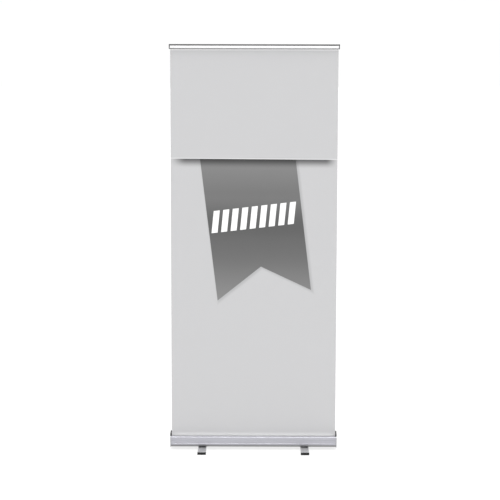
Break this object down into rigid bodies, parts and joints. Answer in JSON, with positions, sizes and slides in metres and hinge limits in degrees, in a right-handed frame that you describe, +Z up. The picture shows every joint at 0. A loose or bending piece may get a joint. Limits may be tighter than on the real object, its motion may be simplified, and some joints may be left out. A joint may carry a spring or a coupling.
{
  "type": "roll-up banner stand",
  "caption": "Free-standing roll-up banner: film drawn from a sprung floor cassette up to a clamp rail held by a telescopic pole, on swing-out feet.",
  "frame": {"origin": "on the floor, under the middle of the stand's footprint with the feet swung out", "axes": "+Z up, -Y out of the printed front, +X to the viewer's right when facing the print"},
  "size_m": [0.872, 0.308, 2.0875],
  "materials": {
    "anodised_aluminium": "satin anodised, fine lengthwise grain",
    "bright_aluminium": "bright anodised, fine lengthwise grain",
    "tube_aluminium": "satin drawn tube",
    "cap_grey": "satin silver-grey paint",
    "dark_grey_plastic": "fine moulded texture",
    "black_plastic": "fine moulded texture",
    "black_rubber": "matte",
    "zinc_steel": "bright zinc plate",
    "spring_steel": "oiled wire",
    "banner_print": "matt printed polyester film, pale grey with a mid-grey ribbon"
  },
  "bodies": {
    "base": {"cassette_housing": "anodised_aluminium", "end_cap_left": "cap_grey", "end_cap_right": "cap_grey", "rail_rest_left": "black_plastic", "rail_rest_right": "black_plastic", "cap_screw_left_1": "zinc_steel", "cap_screw_left_2": "zinc_steel", "cap_screw_left_3": "zinc_steel", "cap_screw_right_1": "zinc_steel", "cap_screw_right_2": "zinc_steel", "cap_screw_right_3": "zinc_steel", "spindle_rod": "zinc_steel", "spindle_clip": "zinc_steel", "idler_pin": "zinc_steel", "spring_anchor": "black_plastic", "torsion_spring": "spring_steel", "foot_bolt_left": "zinc_steel", "foot_bolt_right": "zinc_steel", "foot_washer_left": "black_plastic", "foot_washer_right": "black_plastic", "foot_nut_left": "zinc_steel", "foot_nut_right": "zinc_steel", "pole_socket": "black_plastic", "socket_screw_1": "zinc_steel", "socket_screw_2": "zinc_steel", "pole_foot_plug": "black_plastic", "pole_lower": "tube_aluminium", "clamp_collar_lower": "black_plastic", "clamp_pin_lower": "zinc_steel", "banner_film": "banner_print"},
    "roller": {"roller_tube": "tube_aluminium", "roller_plug_left": "black_plastic", "roller_plug_right": "black_plastic", "leader_wrap": "banner_print"},
    "foot_left": {"foot_bar_left": "anodised_aluminium", "foot_cap_left_front": "black_rubber", "foot_cap_left_rear": "black_rubber"},
    "foot_right": {"foot_bar_right": "anodised_aluminium", "foot_cap_right_front": "black_rubber", "foot_cap_right_rear": "black_rubber"},
    "mast_middle": {"pole_middle": "tube_aluminium", "glide_plug_middle": "black_plastic", "clamp_collar_upper": "black_plastic", "clamp_pin_upper": "zinc_steel"},
    "mast_top": {"pole_upper": "tube_aluminium", "glide_plug_upper": "black_plastic", "pole_head": "black_plastic", "rail_hook": "black_plastic", "hook_screw_1": "zinc_steel", "hook_screw_2": "zinc_steel", "rail_back": "bright_aluminium", "rail_cap_left": "dark_grey_plastic", "rail_cap_right": "dark_grey_plastic", "grip_strip": "black_rubber"},
    "rail_front": {"rail_jaw": "bright_aluminium", "jaw_lip": "dark_grey_plastic", "hinge_cover": "dark_grey_plastic"},
    "lever_lower": {"clamp_lever_lower": "dark_grey_plastic"},
    "lever_upper": {"clamp_lever_upper": "dark_grey_plastic"}
  },
  "joints": [
    {"name": "mast_middle_slide", "type": "slide", "parent": "base", "child": "mast_middle", "axis": [0, 0, 1], "range_m": [-0.591, 0], "deforming": ["banner_film"]},
    {"name": "mast_top_slide", "type": "slide", "parent": "mast_middle", "child": "mast_top", "axis": [0, 0, 1], "range_m": [-0.591, 0]},
    {"name": "roller_spin", "type": "hinge", "parent": "base", "child": "roller", "pos_m": [0, 0.011, 0.042], "axis": [1, 0, 0], "range_deg": [0, 3079]},
    {"name": "foot_left_swing", "type": "hinge", "parent": "base", "child": "foot_left", "pos_m": [-0.265, 0, 0.006], "axis": [0, 0, 1], "range_deg": [-90, 90]},
    {"name": "foot_right_swing", "type": "hinge", "parent": "base", "child": "foot_right", "pos_m": [0.265, 0, 0.006], "axis": [0, 0, 1], "range_deg": [-90, 90]},
    {"name": "rail_jaw_hinge", "type": "hinge", "parent": "mast_top", "child": "rail_front", "pos_m": [0, -0.0152, 2.0822], "axis": [-1, 0, 0], "range_deg": [0, 60]},
    {"name": "lever_lower_flip", "type": "hinge", "parent": "base", "child": "lever_lower", "pos_m": [0.025, 0.024, 0.816], "axis": [0, 0, -1], "range_deg": [0, 110]},
    {"name": "lever_upper_flip", "type": "hinge", "parent": "mast_middle", "child": "lever_upper", "pos_m": [0.0225, 0.024, 1.445], "axis": [0, 0, -1], "range_deg": [0, 110]}
  ],
  "couplings": [
    {"joint": "mast_top_slide", "follows": "mast_middle_slide", "ratio": 1},
    {"joint": "roller_spin", "follows": "mast_middle_slide", "rad_per_m": -90.909}
  ]
}
